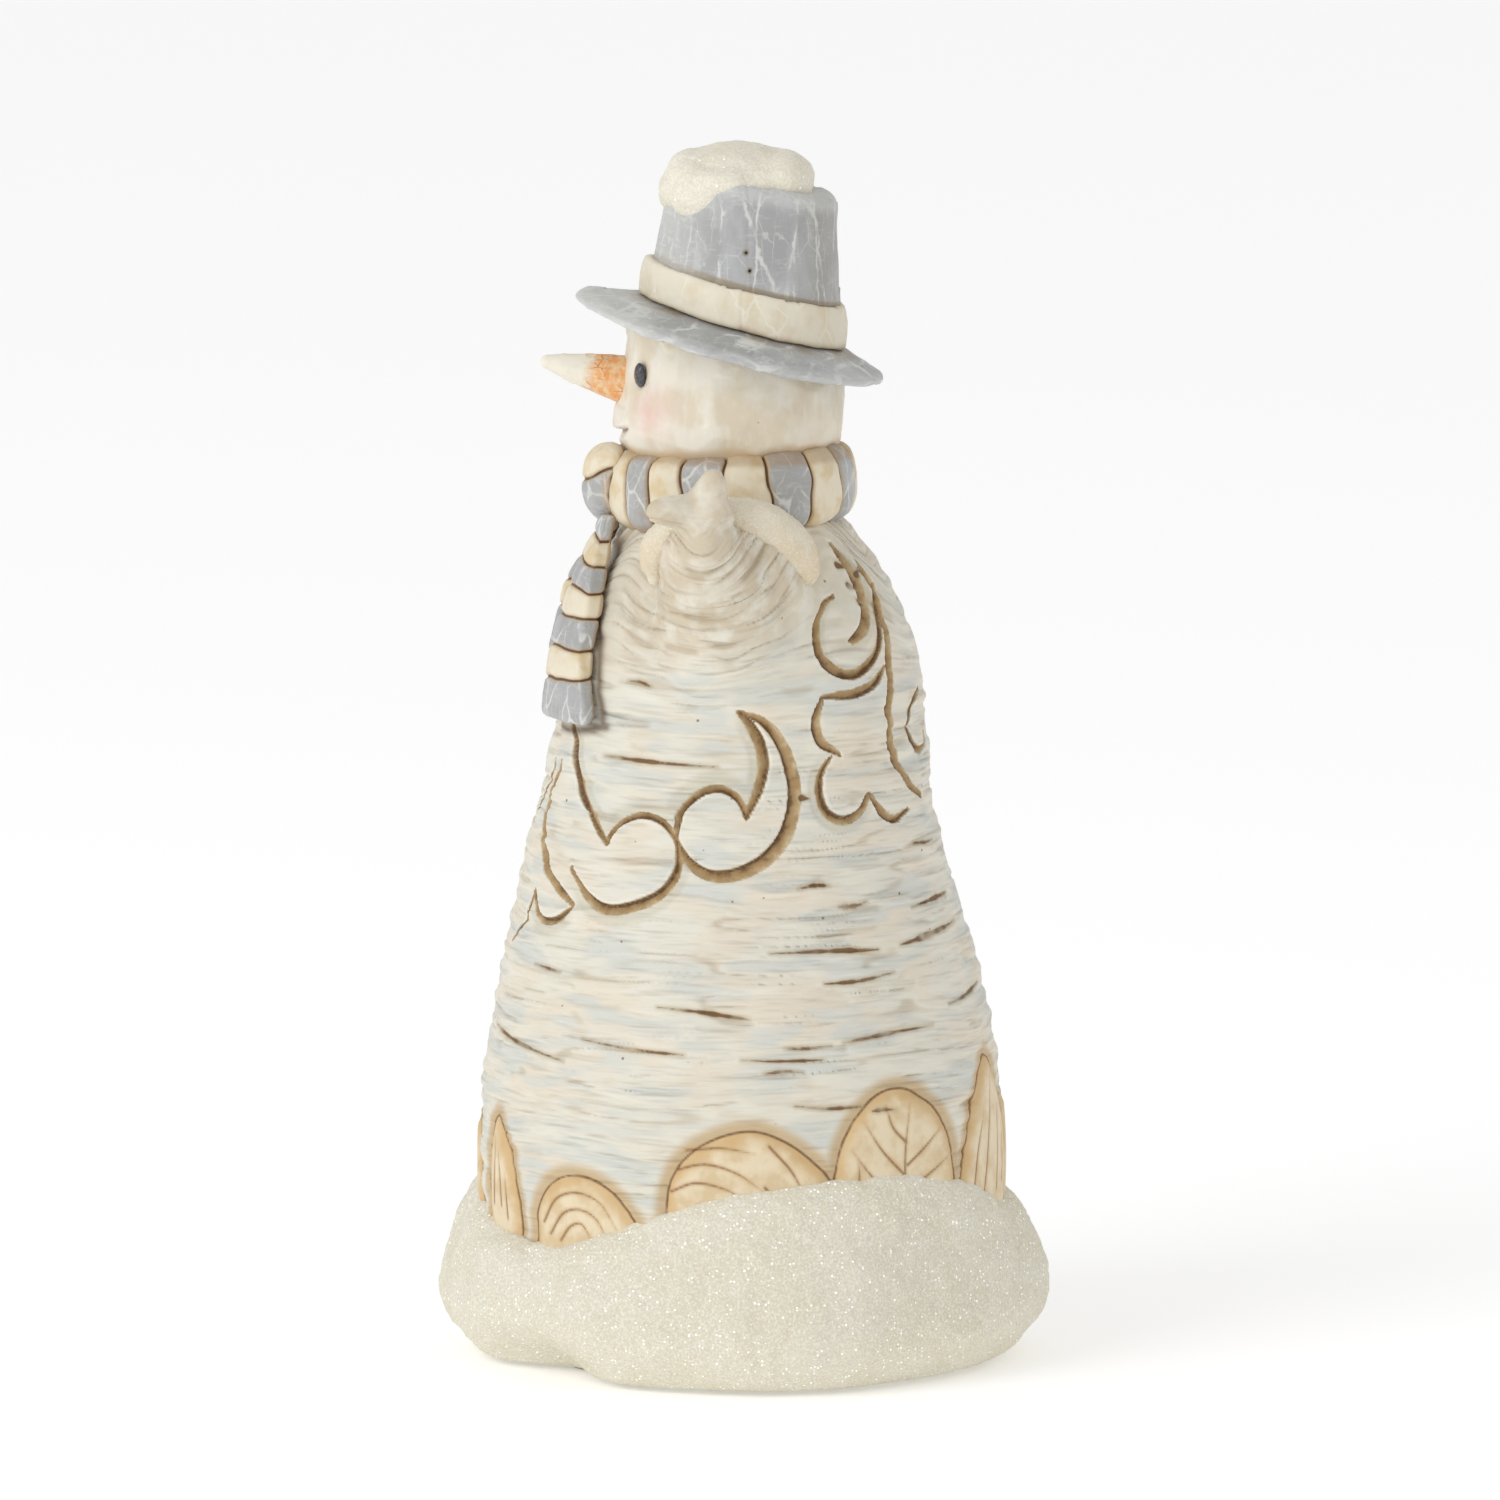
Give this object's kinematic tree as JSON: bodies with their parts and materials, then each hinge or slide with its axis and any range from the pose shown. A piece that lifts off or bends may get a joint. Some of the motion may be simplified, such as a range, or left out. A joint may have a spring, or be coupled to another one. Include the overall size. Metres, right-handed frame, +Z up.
{
  "type": "snowman figure",
  "caption": "Free-standing snowman ornament carved as a birch log, with hat, striped scarf, carrot nose, branch arms and a mound of glittery snow as its foot.",
  "frame": {"origin": "centre of the underside, on the surface that the figure stands on", "axes": "+Z up; the figure faces -Y; its left arm is on +X"},
  "size_m": [0.105, 0.1101, 0.2203],
  "materials": {
    "birch_bark": "hand-painted carved bark: cream and pale blue-grey brush strokes, brown stain in the grooves",
    "glitter_snow": "rough off-white paint covered in fine clear glitter",
    "grey_paint": "satin grey paint with pale crackle lines",
    "cream_paint": "satin cream paint with tan stain",
    "scarf_paint": "satin paint in cream and grey stripes with dark brown incised lines",
    "snow_white_paint": "satin warm white paint over carved facets, with a pink blush",
    "carrot_paint": "cream paint, orange crackle over the root half",
    "coal_paint": "glossy black paint",
    "dowel_wood": "plain turned wood",
    "felt": "grey-beige felt"
  },
  "bodies": {
    "root": {"felt_pad": "felt", "snow_base": "glitter_snow", "birch_body": "birch_bark", "neck_dowel": "dowel_wood", "head": "snow_white_paint", "nose": "carrot_paint", "eye_left": "coal_paint", "eye_right": "coal_paint", "scarf_collar": "scarf_paint", "scarf_knot": "scarf_paint", "scarf_end_left": "scarf_paint", "scarf_end_right": "scarf_paint", "hat_brim": "grey_paint", "hat_crown": "grey_paint", "hat_band": "cream_paint", "hat_snow": "glitter_snow", "hat_dowel": "dowel_wood", "arm_left": "birch_bark", "arm_right": "birch_bark", "arm_snow_left": "glitter_snow", "arm_snow_right": "glitter_snow", "arm_dowel_left": "dowel_wood", "arm_dowel_right": "dowel_wood"}
  },
  "joints": []
}
